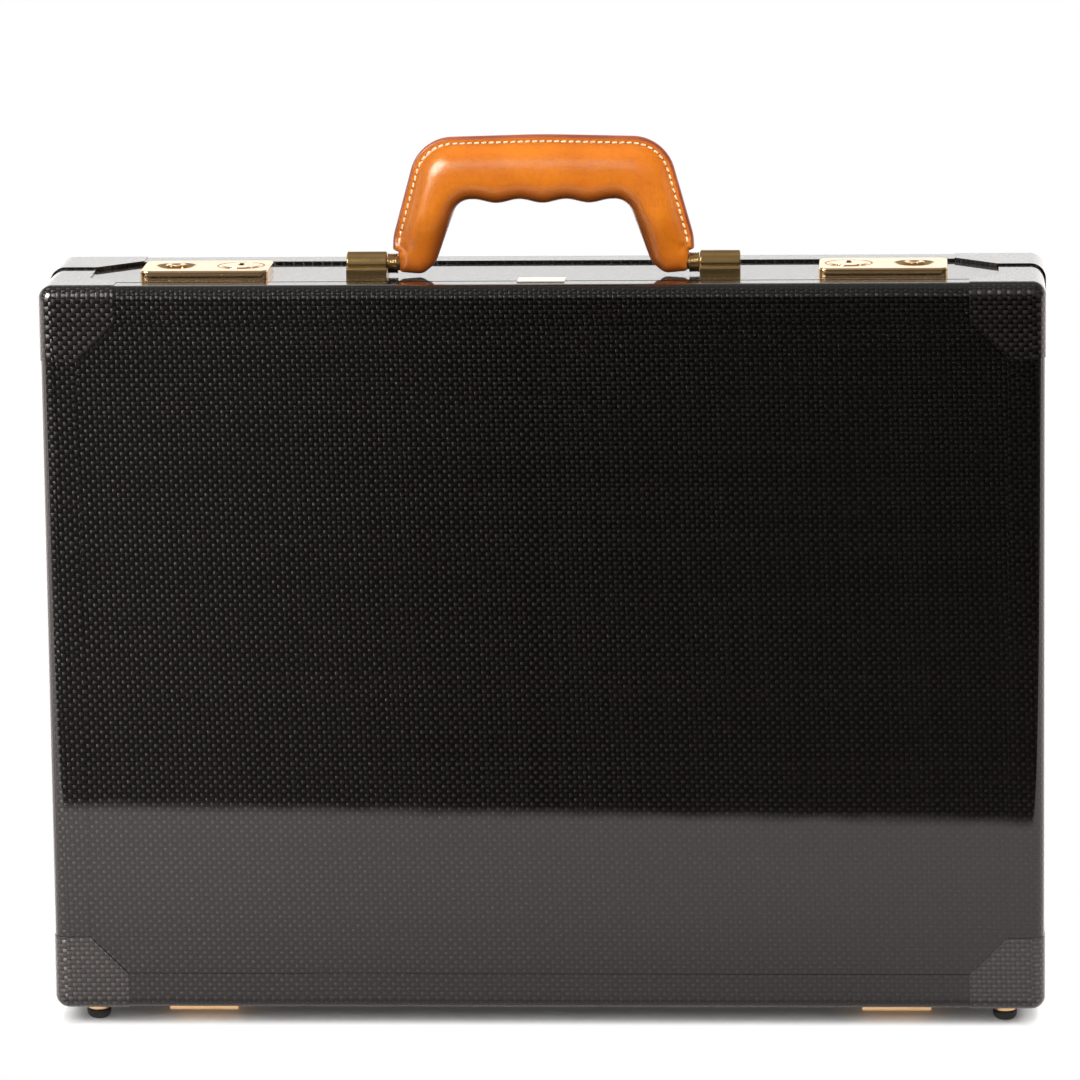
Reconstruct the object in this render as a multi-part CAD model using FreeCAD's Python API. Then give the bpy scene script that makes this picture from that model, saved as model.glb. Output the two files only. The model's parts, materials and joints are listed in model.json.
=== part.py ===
"""Attache case: two woven carbon shells with corner caps, locks, handle, hinges and lined inside.

Millimetres. X runs along the case's width, +Y from the front shell (base) to the back shell (lid),
+Z up. The origin is on the ground, below the middle of the standing case.
Pieces are built for the right-hand side (+X) and mirrored for the left.
"""
import FreeCAD, Part
import math
import os

V = FreeCAD.Vector

# ---- driving dimensions -------------------------------------------------------------------------
WIDTH = 420.0             # outer width of the base shell
DEPTH = 88.0              # both shells together, front face to back face
HEIGHT = 310.0            # outer height of the base shell
FOOT_HEIGHT = 8.5         # ground to the base's bottom wall
WALL = 2.0                # shell thickness
EDGE_RADIUS = 5.0         # all outer edges
LID_PROUD = 0.8           # how far the lid's walls stand out past the base's walls
SEAM_GAP = 0.5            # between the two shells
BAND = 0.4                # thickness of the edge bands
BAND_WIDTH = 15.0
BAND_CHANNEL_Y = (-31.0, -29.5)     # channel along the top band's rear edge
CAP = 0.8                 # thickness of the corner caps

# ---- where things lie ---------------------------------------------------------------------------
HALF = WIDTH / 2
FRONT = -DEPTH / 2
BACK = DEPTH / 2
BOTTOM = FOOT_HEIGHT
TOP = BOTTOM + HEIGHT
SEAM_Y = 7.0              # middle of the gap between base and lid
TONGUE_Y = 24.5           # the base's top wall reaches back to here, under the locks
TONGUE_HALF = 191.0       # half width of that tongue at the seam; its ends slope at 45 degrees
FRAME_DEPTH = 10.0        # rim frames, measured along Y

LOCK_X = (116.0, 170.0)   # lock plate
LOCK_Y = (-21.5, 10.0)
LOCK_THICK = 3.9
LOCK_MID_Y = (LOCK_Y[0] + LOCK_Y[1]) / 2
KEY_X = 128.5
BUTTON_X = 156.0
KEY_DISC_R = 8.1
KEY_SHAFT_R = 3.5
STEM_R = 2.0
BACKING = 1.2             # lock backing plates and handle stiffener
BACKING_Z = TOP - WALL - BACKING
STRIP_Z = TOP - 6.8       # underside of the latch strip
STRIP_THICK = 0.8
NOSE_Z = TOP - 4.4        # top of its nose
TONGUE_Z = TOP - 5.6      # how deep the base's tongue cuts into the lid

HANDLE_Y = -10.0          # handle pivot axis
HANDLE_Z = TOP + 5.2
PIN_R = 2.0
BRACKET_X = (66.0, 83.0)
FERRULE_X = (61.5, 65.7)
GRIP_HALF = 9.3           # half thickness of the padded grip

HINGE_Y = SEAM_Y
HINGE_Z = BOTTOM - 4.2
HINGE_X = (133.0, 163.0)
BASE_LEAF_Y = -34.0       # front end of the base's hinge leaves
LEAF_Z = BOTTOM - 3.6     # underside of the hinge leaves
KNUCKLE_R = 3.0
HINGE_PIN_R = 1.5
LID_KNUCKLE_X = (141.3, 154.7)

FOOT_X = 194.0
FOOT_Y = 27.0
CUP_R = 4.6               # brass washer
CUP_HEIGHT = 3.4
PAD_R = 5.2               # rubber foot
PAD_ROUND = 3.2           # its bottom rim

STAY_R = 26.0             # both stay studs lie at this distance from the hinge axis
STAY_HALF_ANGLE = 14.0    # and at this angle either side of the vertical
STAY_X = (199.7, 201.5)
STAY_WIDTH = 8.0
STAY_OPEN_ANGLE = 100.0
STUD_R = 1.6
STUD_Z = HINGE_Z + STAY_R * math.cos(math.radians(STAY_HALF_ANGLE))
STUD_DY = STAY_R * math.sin(math.radians(STAY_HALF_ANGLE))

LINING = 1.2
LINING_HALF = 203.4
RUNNING = 0.06            # radial clearance of running fits


# ---- helpers ------------------------------------------------------------------------------------
def box(x, y, z):
    """A block between the pairs x, y and z."""
    size = (x[1] - x[0], y[1] - y[0], z[1] - z[0])
    return Part.makeBox(size[0], size[1], size[2], V(x[0], y[0], z[0]))


def rod(radius, start, axis, length):
    return Part.makeCylinder(radius, length, V(*start), V(*axis))


def rounded_box(x, y, z, radius):
    block = box(x, y, z)
    return block.makeFillet(radius, block.Edges)


def bend(before, here, after, radius):
    """Start, middle and end of the tangent arc that rounds the corner at here."""
    if radius <= 0:
        return here, here, here
    to_last = before - here
    to_next = after - here
    to_last.normalize()
    to_next.normalize()
    half = math.acos(max(-1.0, min(1.0, to_last.dot(to_next)))) / 2
    reach = radius / math.tan(half)
    bisector = to_last + to_next
    bisector.normalize()
    middle = here + bisector * (radius / math.sin(half) - radius)
    return here + to_last * reach, middle, here + to_next * reach


def chain(start, bends, end):
    """Edges from start to end: straight runs joined by the arcs in bends."""
    edges = []
    last = start
    for arc_start, middle, arc_end in bends:
        if (arc_start - last).Length > 1e-6:
            edges.append(Part.LineSegment(last, arc_start).toShape())
        if (arc_end - arc_start).Length > 1e-6:
            edges.append(Part.Arc(arc_start, middle, arc_end).toShape())
        last = arc_end
    if (end - last).Length > 1e-6:
        edges.append(Part.LineSegment(last, end).toShape())
    return edges


def outline(corners, place):
    """A closed wire through corners (u, v, radius); place maps (u, v) to a point."""
    points = [place(V(u, v, 0)) for u, v, _ in corners]
    count = len(points)
    bends = []
    for i in range(count):
        bends.append(bend(points[i - 1], points[i], points[(i + 1) % count], corners[i][2]))
    start = bends[-1][2]
    return Part.Wire(chain(start, bends, start))


def prism(corners, plane, low, high):
    """Extrude an outline drawn in the plane "XY", "XZ" or "YZ" from low to high along the third axis."""
    places = {
        "XY": (lambda p: V(p.x, p.y, low), V(0, 0, high - low)),
        "XZ": (lambda p: V(p.x, low, p.y), V(0, high - low, 0)),
        "YZ": (lambda p: V(low, p.x, p.y), V(high - low, 0, 0)),
    }
    place, direction = places[plane]
    return Part.Face(outline(corners, place)).extrude(direction)


def rectangle(u, v, radius):
    return [(u[0], v[0], radius), (u[1], v[0], radius), (u[1], v[1], radius), (u[0], v[1], radius)]


def turned(profile, x, y):
    """A solid of revolution about the vertical axis at (x, y); profile is a list of edges in XZ."""
    face = Part.Face(Part.Wire(profile))
    solid = face.revolve(V(0, 0, 0), V(0, 0, 1), 360)
    solid.translate(V(x, y, 0))
    return solid


def joined(shapes):
    result = shapes[0]
    for shape in shapes[1:]:
        result = result.fuse(shape)
    return result.removeSplitter()


def minus(shape, *tools):
    for tool in tools:
        shape = shape.cut(tool)
    return shape


def left_of(shape):
    return shape.mirror(V(0, 0, 0), V(1, 0, 0))


def both(shape):
    return [shape, left_of(shape)]


def flipped_z(shape):
    """Mirror a piece from the top of the case to the bottom."""
    return shape.mirror(V(0, 0, (BOTTOM + TOP) / 2), V(0, 0, 1))


# ---- shells -------------------------------------------------------------------------------------
def envelope(grow):
    """The base's outer shape, grown outwards by grow (negative for the inside)."""
    x = (-HALF - grow, HALF + grow)
    y = (FRONT - grow, BACK + grow)
    z = (BOTTOM - grow, TOP + grow)
    return rounded_box(x, y, z, EDGE_RADIUS + grow)


def lid_envelope(grow):
    """The lid's outer shape: wider and taller than the base, with the same back face."""
    side = LID_PROUD + grow
    x = (-HALF - side, HALF + side)
    y = (FRONT - grow, BACK + grow)
    z = (BOTTOM - side, TOP + side)
    return rounded_box(x, y, z, EDGE_RADIUS + side)


def tongue(gap):
    """The block under the locks that belongs to the base; gap grows it on its three free sides."""
    slope = TONGUE_HALF + SEAM_Y + gap * math.sqrt(2)
    tip = TONGUE_Y + gap
    root = SEAM_Y - 4
    right = [(slope - root, root, 0), (slope - tip, tip, 0)]
    corners = right + [(-x, y, radius) for x, y, radius in reversed(right)]
    return prism(corners, "XY", TONGUE_Z, TOP + 12)


def base_side():
    half = box((-300, 300), (-80, SEAM_Y - SEAM_GAP / 2), (-20, 420))
    return half.fuse(tongue(-SEAM_GAP / 2))


def lid_side():
    half = box((-300, 300), (SEAM_Y + SEAM_GAP / 2, 80), (-20, 420))
    return half.cut(tongue(SEAM_GAP / 2))


def base_shell():
    shell = envelope(0).cut(envelope(-WALL)).common(base_side())
    holes = [hole for part in base_drillings() for hole in both(part)]
    return minus(shell, *holes)


def lid_shell():
    shell = lid_envelope(0).cut(lid_envelope(-WALL)).common(lid_side())
    holes = [hole for part in lid_drillings() for hole in both(part)]
    return minus(shell, *holes)


# ---- corner caps and edge bands -----------------------------------------------------------------
CAP_LONG = 31.0           # a cap's reach along the outer edges
CAP_SHORT = 15.0          # its reach where the 45 degree cut ends on the big face
CAP_NARROW = 18.5         # its reach along the seam
CAP_TURN = 13.0           # distance from the big face where the 45 degree cut begins
LID_CAP_LONG = 36.8       # the lid's top caps reach in to the tongue


def face_cut(long_u, long_v):
    """Outline of a cap on the big face, measured from the case's corner."""
    turn_u = long_u - (CAP_LONG - CAP_SHORT)
    return [(-5, -5, 0), (long_u, -5, 0), (long_u, CAP_SHORT, 0), (turn_u, long_v, 0), (-5, long_v, 0)]


def side_cut(long_reach):
    """Outline of a cap on a narrow face: along the edge, then from the big face to the seam."""
    narrow = long_reach - (CAP_LONG - CAP_NARROW)
    turn = CAP_TURN + CAP_LONG - CAP_NARROW
    return [(-5, -5, 0), (long_reach, -5, 0), (long_reach, CAP_TURN, 0), (narrow, turn, 0),
            (narrow, 60, 0), (-5, 60, 0)]


def cap_zone(long_x, wide_top):
    """Where the right-hand top cap of the base lies. wide_top keeps long_x all the way to the seam."""
    to_xz = [(HALF - u, TOP - v, 0) for u, v, _ in face_cut(long_x, CAP_LONG)]
    on_face = prism(to_xz, "XZ", FRONT - 5, FRONT + EDGE_RADIUS)
    top_cut = side_cut(long_x)
    if wide_top:
        top_cut = [(-5, -5, 0), (long_x, -5, 0), (long_x, 60, 0), (-5, 60, 0)]
    on_top = prism([(HALF - u, FRONT + v, 0) for u, v, _ in top_cut], "XY", TOP - EDGE_RADIUS, TOP + 5)
    to_yz = [(FRONT + v, TOP - u, 0) for u, v, _ in side_cut(CAP_LONG)]
    on_side = prism(to_yz, "YZ", HALF - EDGE_RADIUS, HALF + 5)
    return on_face.fuse(on_top).fuse(on_side)


def front_to_back(shape):
    return shape.mirror(V(0, 0, 0), V(0, 1, 0))


def base_zones():
    top = cap_zone(CAP_LONG, False)
    return {"top": top, "bottom": flipped_z(top)}


def lid_zones():
    top = front_to_back(cap_zone(LID_CAP_LONG, True))
    bottom = flipped_z(front_to_back(cap_zone(CAP_LONG, False)))
    return {"top": top, "bottom": bottom}


def caps(skin, zones, side):
    """The right-hand caps of one shell, by level."""
    return {level: skin.common(zone).common(side) for level, zone in zones.items()}


def edge_band(skin, zones, window_y, reach, side):
    """The strip that wraps a shell's outer edges between its caps."""
    window = box((-HALF + BAND_WIDTH, HALF - BAND_WIDTH), window_y, (BOTTOM + BAND_WIDTH, TOP - BAND_WIDTH))
    strip = skin.common(reach).common(side).cut(window)
    for zone in zones.values():
        strip = minus(strip, zone, left_of(zone))
    return strip


def base_edge_band():
    skin = envelope(BAND).cut(envelope(0))
    window_y = (FRONT - 5, FRONT + 1)
    reach = box((-300, 300), (FRONT - 5, FRONT + BAND_WIDTH), (-20, 420))
    channel = box((-HALF, HALF), BAND_CHANNEL_Y, (TOP, TOP + 5))
    return edge_band(skin, base_zones(), window_y, reach, base_side()).cut(channel).cut(name_plate())


def lid_edge_band():
    skin = lid_envelope(BAND).cut(lid_envelope(0))
    window_y = (BACK - 1, BACK + 5)
    reach = box((-300, 300), (BACK - BAND_WIDTH, BACK + 5), (-20, 420))
    over_top = box((-300, 300), (TONGUE_Y, BACK + 5), (TOP - EDGE_RADIUS, 420))
    return edge_band(skin, lid_zones(), window_y, reach.fuse(over_top), lid_side())


def name_plate():
    """A plain plate over the band's edge, in the middle of the top."""
    plate = box((-10, 10), (-35, -23), (TOP, TOP + 0.9))
    return plate.makeFillet(0.3, [edge for edge in plate.Edges if edge.BoundBox.ZMin > TOP + 0.5])


# ---- rim frames and linings ---------------------------------------------------------------------
FRAME_Z = TOP - 2.6       # top of the lid's frame, just under the base's tongue
BASE_FRAME_INNER = HALF - 6.0
LID_FRAME_INNER = BASE_FRAME_INNER + 1.6


def ring(outer_half, outer_z, bar, y, radius):
    outer = prism(rectangle((-outer_half, outer_half), outer_z, radius), "XZ", y[0], y[1])
    inner_half = outer_half - bar[0]
    inner_z = (outer_z[0] + bar[1], outer_z[1] - bar[1])
    return outer.cut(prism(rectangle((-inner_half, inner_half), inner_z, 1.0), "XZ", y[0], y[1]))


def base_rim_frame():
    """A ring inside the base's mouth, open over the locks, with a locating lip up each side."""
    y = (SEAM_Y - SEAM_GAP / 2 - FRAME_DEPTH - 1.75, SEAM_Y - SEAM_GAP / 2)
    half = HALF - WALL
    frame = ring(half, (BOTTOM + WALL, TOP - WALL), (4.0, 4.0), y, EDGE_RADIUS - WALL)
    lip = box((BASE_FRAME_INNER, BASE_FRAME_INNER + 1.2), (y[1] - 1, 9.5), (BOTTOM + 20, TOP - 20))
    lock_room = box((110, 174), (y[0] - 1, y[1] + 1), (TOP - 6.5, TOP))
    frame = joined([frame] + both(lip))
    return minus(frame, *both(lock_room), *both(base_stud()))


def lid_rim_frame():
    y = (SEAM_Y + SEAM_GAP / 2, SEAM_Y + SEAM_GAP / 2 + FRAME_DEPTH)
    half = HALF + LID_PROUD - WALL
    z = (BOTTOM - LID_PROUD + WALL, FRAME_Z)
    frame = ring(half, z, (half - LID_FRAME_INNER, 4.0), y, 3.8)
    tools = [tool for part in keeper_screws() + [lid_stud()] for tool in both(part)]
    return minus(frame, *tools)


def tray(y_floor, y_rim, z):
    """Five covered boards: a floor against the shell's big face, two sides, a top and a bottom."""
    x = (-LINING_HALF, LINING_HALF)
    inward = 1 if y_rim > y_floor else -1
    floor_y = sorted((y_floor, y_floor + inward * LINING))
    wall_y = sorted((y_floor + inward * LINING, y_rim))
    floor = box(x, floor_y, z)
    side = box((x[1] - LINING, x[1]), wall_y, z)
    inner_x = (x[0] + LINING, x[1] - LINING)
    top = box(inner_x, wall_y, (z[1] - LINING, z[1]))
    bottom = box(inner_x, wall_y, (z[0], z[0] + LINING))
    return [floor, top, bottom] + both(side)


BASE_LINING_Z = (BOTTOM + 6.1, TOP - 10.8)
LID_LINING_Z = (BOTTOM + 6.0, TOP - 7.4)


def base_lining():
    boards = tray(FRONT + WALL, SEAM_Y - 2.0, BASE_LINING_Z)
    return [minus(board, *both(base_stud())) for board in boards]


def lid_lining():
    boards = tray(BACK - WALL, SEAM_Y + 2.5, LID_LINING_Z)
    return [minus(board, *both(lid_stud())) for board in boards]


def document_pocket():
    """A wide leather pocket on the lid's lining, open at the top: a panel on three edge strips."""
    half = 186.0
    strip = 4.0
    z = (BOTTOM + 14, BOTTOM + 214)
    y = (36.4, 37.8, BACK - WALL - LINING)
    panel = box((-half, half), y[:2], z)
    foot = box((-half, half), y[1:], (z[0], z[0] + strip))
    edge = box((half - strip, half), y[1:], (z[0] + strip, z[1]))
    return [panel, foot] + both(edge)


def pen_loops():
    """Three leather loops above the pocket."""
    y = BACK - WALL - LINING
    z = BOTTOM + 232
    loops = []
    for x in (112.0, 132.0, 152.0):
        outer = rod(7.0, (x, y, z), (0, 0, 1), 26)
        inner = rod(5.8, (x, y, z), (0, 0, 1), 26)
        keep = box((x - 8, x + 8), (y - 8, y), (z, z + 26))
        loops.append(outer.cut(inner).common(keep))
    return loops


# ---- locks --------------------------------------------------------------------------------------
def lock_screws():
    """Short screws up through the backing plate into the lock plate."""
    screws = []
    for x in (LOCK_X[0] + 5, LOCK_X[1] - 4.5):
        for y in (LOCK_Y[0] + 4, LOCK_Y[1] - 8.0):
            head = rod(2.0, (x, y, BACKING_Z - 1.4), (0, 0, 1), 1.4)
            shank = rod(1.1, (x, y, BACKING_Z - 1.4), (0, 0, 1), BACKING + WALL + 3.4)
            screws.append(head.fuse(shank))
    return screws


def stem_hole():
    return rod(STEM_R + 0.08, (BUTTON_X, LOCK_MID_Y, TOP - 12), (0, 0, 1), 14)


def shaft_hole():
    return rod(KEY_SHAFT_R + 0.08, (KEY_X, LOCK_MID_Y, TOP - 12), (0, 0, 1), 15)


def dish():
    """The bowl around the release button, with the button's bore below it."""
    top = TOP + LOCK_THICK + 0.05
    floor = TOP + 2.2
    points = [V(0, 0, TOP - 1), V(5.0, 0, TOP - 1), V(5.0, 0, floor), V(9.0, 0, top), V(0, 0, top)]
    profile = [
        Part.LineSegment(points[0], points[1]).toShape(),
        Part.LineSegment(points[1], points[2]).toShape(),
        Part.Arc(points[2], V(7.2, 0, floor + 0.75), points[3]).toShape(),
        Part.LineSegment(points[3], points[4]).toShape(),
        Part.LineSegment(points[4], points[0]).toShape(),
    ]
    return turned(profile, BUTTON_X, LOCK_MID_Y)


def lock_plate():
    z = (TOP, TOP + LOCK_THICK)
    plate = prism(rectangle(LOCK_X, LOCK_Y, 3.5), "XY", z[0], z[1])
    rim = [edge for edge in plate.Edges if edge.BoundBox.ZMin > z[1] - 0.1]
    plate = plate.makeFillet(0.7, rim)
    groove = rod(10.2, (KEY_X, LOCK_MID_Y, z[1] - 0.8), (0, 0, 1), 2)
    seat = rod(KEY_DISC_R + 0.1, (KEY_X, LOCK_MID_Y, TOP + 1.5), (0, 0, 1), 4)
    land = rod(9.4, (KEY_X, LOCK_MID_Y, z[1] - 0.8), (0, 0, 1), 0.8)
    plate = minus(plate, groove.cut(land), seat, shaft_hole(), dish())
    return minus(plate, *lock_screws())


def lock_backing():
    plate = prism(rectangle((113, 173), (-34, 4.4), 3), "XY", BACKING_Z, BACKING_Z + BACKING)
    return minus(plate, stem_hole(), shaft_hole(), *lock_screws())


def latch_strip():
    """Spring steel: welded to the backing plate in front, its nose holds the lid's keeper."""
    x = (BUTTON_X - 6, BUTTON_X + 6)
    z = (STRIP_Z, STRIP_Z + STRIP_THICK)
    foot = box(x, (-33, -25), (BACKING_Z - STRIP_THICK, BACKING_Z))
    riser = box(x, (-25.8, -25), (z[0], BACKING_Z))
    blade = box(x, (-25.8, 4.6), z)
    ear = box((138, x[0]), (-12, 0), z)
    root = z[0] + 0.4
    slope = [(1.3, root, 0), (1.3, NOSE_Z, 0), (2.0, NOSE_Z, 0), (4.4, root, 0)]
    nose = prism(slope, "YZ", BUTTON_X - 3.5, BUTTON_X + 3.5)
    return joined([foot, riser, blade, ear, nose])


def release_button():
    """A fluted knob on a stem; a collar below the wall keeps it in."""
    z = (TOP + 2.4, TOP + 4.6)
    knob = rod(4.5, (BUTTON_X, LOCK_MID_Y, z[0]), (0, 0, 1), z[1] - z[0])
    knob = knob.makeFillet(0.5, [edge for edge in knob.Edges if edge.BoundBox.ZMin > z[1] - 0.1])
    flutes = []
    for i in range(9):
        turn = math.radians(40 * i)
        centre = (BUTTON_X + 5.1 * math.cos(turn), LOCK_MID_Y + 5.1 * math.sin(turn), z[0] - 1)
        flutes.append(rod(1.15, centre, (0, 0, 1), 5))
    knob = minus(knob, *flutes)
    dimple = Part.makeSphere(6.0, V(BUTTON_X, LOCK_MID_Y, z[1] + 5.4))
    stem_z = STRIP_Z + STRIP_THICK + 0.3
    stem = rod(STEM_R, (BUTTON_X, LOCK_MID_Y, stem_z), (0, 0, 1), z[0] + 0.1 - stem_z)
    collar = rod(3.4, (BUTTON_X, LOCK_MID_Y, BACKING_Z - 1.1), (0, 0, 1), 0.8)
    return joined([knob.cut(dimple), stem, collar])


def key_cylinder():
    """The lock's plug: a disc with a keyhole and two front notches, on a shaft to the cam."""
    z = (TOP + 1.8, TOP + LOCK_THICK + 0.3)
    disc = rod(KEY_DISC_R, (KEY_X, LOCK_MID_Y, z[0]), (0, 0, 1), z[1] - z[0])
    disc = disc.makeFillet(0.4, [edge for edge in disc.Edges if edge.BoundBox.ZMin > z[1] - 0.1])
    shaft = rod(KEY_SHAFT_R, (KEY_X, LOCK_MID_Y, TOP - 9.2), (0, 0, 1), z[0] - TOP + 9.4)
    hole = rod(1.5, (KEY_X, LOCK_MID_Y, z[1] - 4), (0, 0, 1), 6)
    slot = box((KEY_X - 0.9, KEY_X + 0.9), (LOCK_MID_Y, LOCK_MID_Y + 5.4), (z[1] - 1.8, z[1] + 1))
    notches = []
    for side in (-1, 1):
        turn = math.radians(-90 + side * 32)
        centre = (KEY_X + 8.3 * math.cos(turn), LOCK_MID_Y + 8.3 * math.sin(turn), z[1] - 0.9)
        notches.append(rod(1.2, centre, (0, 0, 1), 2))
    return minus(disc.fuse(shaft), hole, slot, *notches)


def key_cam():
    """A lever on the plug's shaft; turned, it lies under the latch strip's ear and blocks it."""
    z = (TOP - 8.4, TOP - 7.1)
    hub = rod(5.5, (KEY_X, LOCK_MID_Y, z[0]), (0, 0, 1), z[1] - z[0])
    arm = prism(rectangle((KEY_X - 4, KEY_X + 4), (LOCK_MID_Y - 13, LOCK_MID_Y), 2.0), "XY", z[0], z[1])
    shaft = rod(KEY_SHAFT_R, (KEY_X, LOCK_MID_Y, TOP - 12), (0, 0, 1), 14)
    return joined([hub, arm]).cut(shaft)


def keeper_screws():
    screws = []
    for x in (BUTTON_X - 8.6, BUTTON_X + 8.6):
        head = rod(1.7, (x, 5.15, TOP - 4.6), (0, 1, 0), 0.9)
        screws.append(head.fuse(rod(1.0, (x, 5.15, TOP - 4.6), (0, 1, 0), 7)))
    return screws


def keeper():
    """The lid's striker: a plate with a window for the latch strip's nose."""
    flange = box((BUTTON_X - 11, BUTTON_X + 11), (6.05, SEAM_Y + SEAM_GAP / 2), (TOP - 6.6, FRAME_Z))
    plate = box((BUTTON_X - 6, BUTTON_X + 6), (-1, 6.05), (TOP - 5.2, TOP - 4.2))
    window = box((BUTTON_X - 3.8, BUTTON_X + 3.8), (1.0, 5.0), (TOP - 6, TOP - 4))
    return minus(joined([flange, plate]).cut(window), *keeper_screws())


# ---- handle -------------------------------------------------------------------------------------
def bracket_screws():
    screws = []
    for x in (BRACKET_X[0] + 4.5, BRACKET_X[1] - 4.5):
        for y in (HANDLE_Y - 4.2, HANDLE_Y + 2.4):
            head = rod(2.2, (x, y, BACKING_Z - 1.6), (0, 0, 1), 1.6)
            screws.append(head.fuse(rod(1.2, (x, y, BACKING_Z - 1.6), (0, 0, 1), BACKING + WALL + 4.2)))
    return screws


def handle_bracket():
    """A pedestal with a round barrel on top that holds the handle's pin."""
    y = (HANDLE_Y - 7.3, HANDLE_Y + 7.3)
    foot = box(BRACKET_X, y, (TOP, TOP + 4.4))
    upper = [edge for edge in foot.Edges if edge.BoundBox.ZMin > TOP + 4]
    foot = foot.makeFillet(1.2, [edge for edge in upper if edge.BoundBox.XLength > 10])
    barrel = rod(5.1, (BRACKET_X[0], HANDLE_Y, HANDLE_Z), (1, 0, 0), BRACKET_X[1] - BRACKET_X[0])
    barrel = barrel.makeChamfer(0.4, [edge for edge in barrel.Edges if edge.BoundBox.XLength < 0.1])
    return minus(joined([foot, barrel]), handle_pin(), *bracket_screws())


def handle_pin():
    x = (FERRULE_X[0] - 1.0, BRACKET_X[1] - 0.4)
    return rod(PIN_R, (x[0], HANDLE_Y, HANDLE_Z), (1, 0, 0), x[1] - x[0])


def handle_stiffener():
    plate = prism(rectangle((-100, 100), (-18, -5.2), 3), "XY", BACKING_Z, BACKING_Z + BACKING)
    tools = [tool for part in bracket_screws() for tool in both(part)]
    return minus(plate, *tools)


def ferrule():
    """A turned collar at the end of the handle, with a bore that runs on the bracket's pin."""
    length = FERRULE_X[1] - FERRULE_X[0]
    collar = rod(4.2, (FERRULE_X[0], HANDLE_Y, HANDLE_Z), (1, 0, 0), length)
    for i in range(3):
        x = FERRULE_X[0] + 0.9 + 1.0 * i
        groove = rod(5, (x, HANDLE_Y, HANDLE_Z), (1, 0, 0), 0.4)
        collar = collar.cut(groove.cut(rod(3.9, (x, HANDLE_Y, HANDLE_Z), (1, 0, 0), 0.4)))
    stub = rod(3.0, (FERRULE_X[0] - 3.0, HANDLE_Y, HANDLE_Z), (1, 0, 0), 3.0)
    bore = rod(PIN_R + RUNNING, (FERRULE_X[0] - 1.2, HANDLE_Y, HANDLE_Z), (1, 0, 0), length + 2)
    return joined([collar, stub]).cut(bore)


def handle_core():
    """A bent steel rod inside the leather, from ferrule to ferrule."""
    end_x = FERRULE_X[0] - 3.0
    half = [(end_x, HANDLE_Z, 0), (53.0, HANDLE_Z, 3.6), (47.6, TOP + 45, 12.0)]
    route = half + [(-x, z, r) for x, z, r in reversed(half)]
    points = [V(x, HANDLE_Y, z) for x, z, _ in route]
    bends = []
    for i in range(1, len(route) - 1):
        bends.append(bend(points[i - 1], points[i], points[i + 1], route[i][2]))
    section = Part.Wire([Part.makeCircle(2.4, points[0], V(1, 0, 0))])
    return Part.Wire(chain(points[0], bends, points[-1])).makePipeShell([section], True, False)


def finger_line():
    """Height of the grip's underside above the case's top, from one leg to the other."""
    pitch = 19.6
    steps = 12
    reach = 1.5 * pitch
    points = []
    for i in range(2 * steps + 1):
        x = reach - reach * i / steps
        points.append(V(x, HANDLE_Y, TOP + 31.3 - 0.8 * math.cos(2 * math.pi * x / pitch)))
    curve = Part.BSplineCurve()
    curve.interpolate(points)
    return curve.toShape(), points[0], points[-1]


def grip_outline():
    """The leather's outline seen from the front: legs, crown and finger grooves."""
    ridge, right, left = finger_line()
    inner = [(right.x + 6.2, right.z - TOP, 7.5), (45.6, 5.0, 9.0), (51.0, 0.5, 5.5)]
    outer = [(61.4, 1.4, 2.6), (61.4, 10.4, 0.4), (63.6, 10.9, 0.8), (63.4, 16.5, 22.0),
             (51.8, 58.3, 18.5)]
    crown = [(0.0, 59.6, 300.0)]
    side = inner + outer
    corners = side + crown + [(-x, z, r) for x, z, r in reversed(side)]
    points = [right] + [V(x, HANDLE_Y, TOP + z) for x, z, _ in corners] + [left]
    bends = []
    for i in range(1, len(points) - 1):
        bends.append(bend(points[i - 1], points[i], points[i + 1], corners[i - 1][2]))
    return Part.Wire(Part.__sortEdges__([ridge] + chain(right, bends, left)))


def handle_leather():
    """The padded leather grip: its outline, thinned towards the pivots and the top welt."""
    slab = Part.Face(grip_outline()).extrude(V(0, 2 * GRIP_HALF, 0))
    slab.translate(V(0, -GRIP_HALF, 0))
    end_r = 4.7
    side = [(end_r, 0.0, 0), (GRIP_HALF, 17.7, 12.0), (GRIP_HALF, 44.0, 12.0), (2.6, 55.5, 0),
            (2.6, 60.0, 0)]
    loop = [(HANDLE_Y + h, HANDLE_Z + z, r) for h, z, r in side]
    loop += [(HANDLE_Y - h, HANDLE_Z + z, r) for h, z, r in reversed(side)]
    taper = prism(loop, "YZ", -70, 70)
    ends = rod(end_r, (-70, HANDLE_Y, HANDLE_Z), (1, 0, 0), 140)
    grip = slab.common(taper.fuse(ends))
    bore = rod(PIN_R + RUNNING, (FERRULE_X[0] - 1.2, HANDLE_Y, HANDLE_Z), (1, 0, 0), 6)
    return minus(grip, handle_core(), *both(ferrule()), *both(bore))


# ---- hinges -------------------------------------------------------------------------------------
def hinge_rivets(y, wall_z):
    """Rivets through a hinge leaf and the shell's bottom wall."""
    rivets = []
    for x in (HINGE_X[0] + 5, (HINGE_X[0] + HINGE_X[1]) / 2, HINGE_X[1] - 5):
        shank = rod(1.5, (x, y, LEAF_Z), (0, 0, 1), wall_z - LEAF_Z + 1.0)
        outer = Part.makeCone(2.8, 1.5, 1.3, V(x, y, LEAF_Z))
        inner = rod(2.5, (x, y, wall_z), (0, 0, 1), 1.0)
        rivets.append(joined([shank, outer, inner]))
    return rivets


BASE_RIVET_Y = -14.0
LID_RIVET_Y = 20.0


def base_rivets():
    return hinge_rivets(BASE_RIVET_Y, BOTTOM + WALL)


def lid_rivets():
    return hinge_rivets(LID_RIVET_Y, BOTTOM - LID_PROUD + WALL)


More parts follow.
